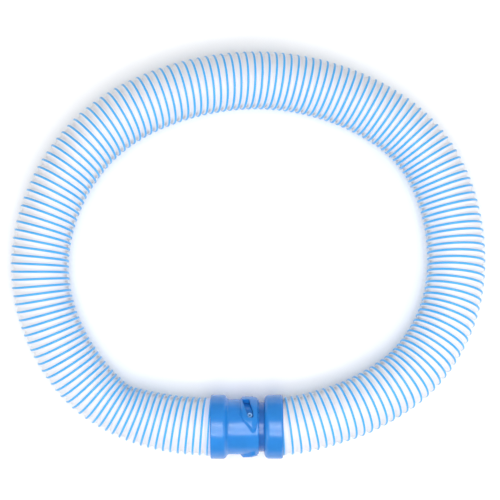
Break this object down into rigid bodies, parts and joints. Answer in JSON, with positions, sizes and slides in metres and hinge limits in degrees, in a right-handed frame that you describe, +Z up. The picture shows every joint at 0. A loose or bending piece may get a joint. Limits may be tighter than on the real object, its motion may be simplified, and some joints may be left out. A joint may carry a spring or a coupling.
{
  "type": "pool cleaner hose section",
  "caption": "Ribbed suction hose section of a pool cleaner with twist-lock cuffs, coupled end to end into a loop that lies flat.",
  "frame": {"origin": "on the floor, under the middle of the cuff coupling (bottom centre of the coupling's box, without the hose)", "axes": "+X along the coupling from the female cuff to the male cuff, +Z up, the hose loop lies towards +Y"},
  "size_m": [0.3896, 0.3343, 0.052],
  "materials": {
    "hose_wall": "white extruded flexible polyethylene wall with a blue helical rib",
    "cuff_blue": "glossy moulded blue polyethylene",
    "sleeve_white": "satin white moulded plastic",
    "pin_blue": "glossy light blue moulded plastic",
    "seal_rubber": "black rubber"
  },
  "bodies": {
    "hose_and_male_cuff": {"hose": "hose_wall", "male_cuff": "cuff_blue", "lock_pin_front": "pin_blue", "lock_pin_rear": "pin_blue", "spigot_seal": "seal_rubber"},
    "swivel": {"swivel_sleeve": "sleeve_white", "snap_ring": "sleeve_white", "swivel_seal": "seal_rubber"},
    "female_cuff": {"female_cuff": "cuff_blue"}
  },
  "joints": [
    {"name": "coupling_draw", "type": "slide", "parent": "hose_and_male_cuff", "child": "swivel", "axis": [1, 0, 0], "range_m": [0, 0.003], "deforming": ["hose"]},
    {"name": "cuff_twist", "type": "hinge", "parent": "swivel", "child": "female_cuff", "pos_m": [0, 0, 0.026], "axis": [1, 0, 0], "range_deg": [0, 34]}
  ],
  "couplings": [
    {"joint": "coupling_draw", "follows": "cuff_twist", "m_per_rad": 0.0050555}
  ]
}
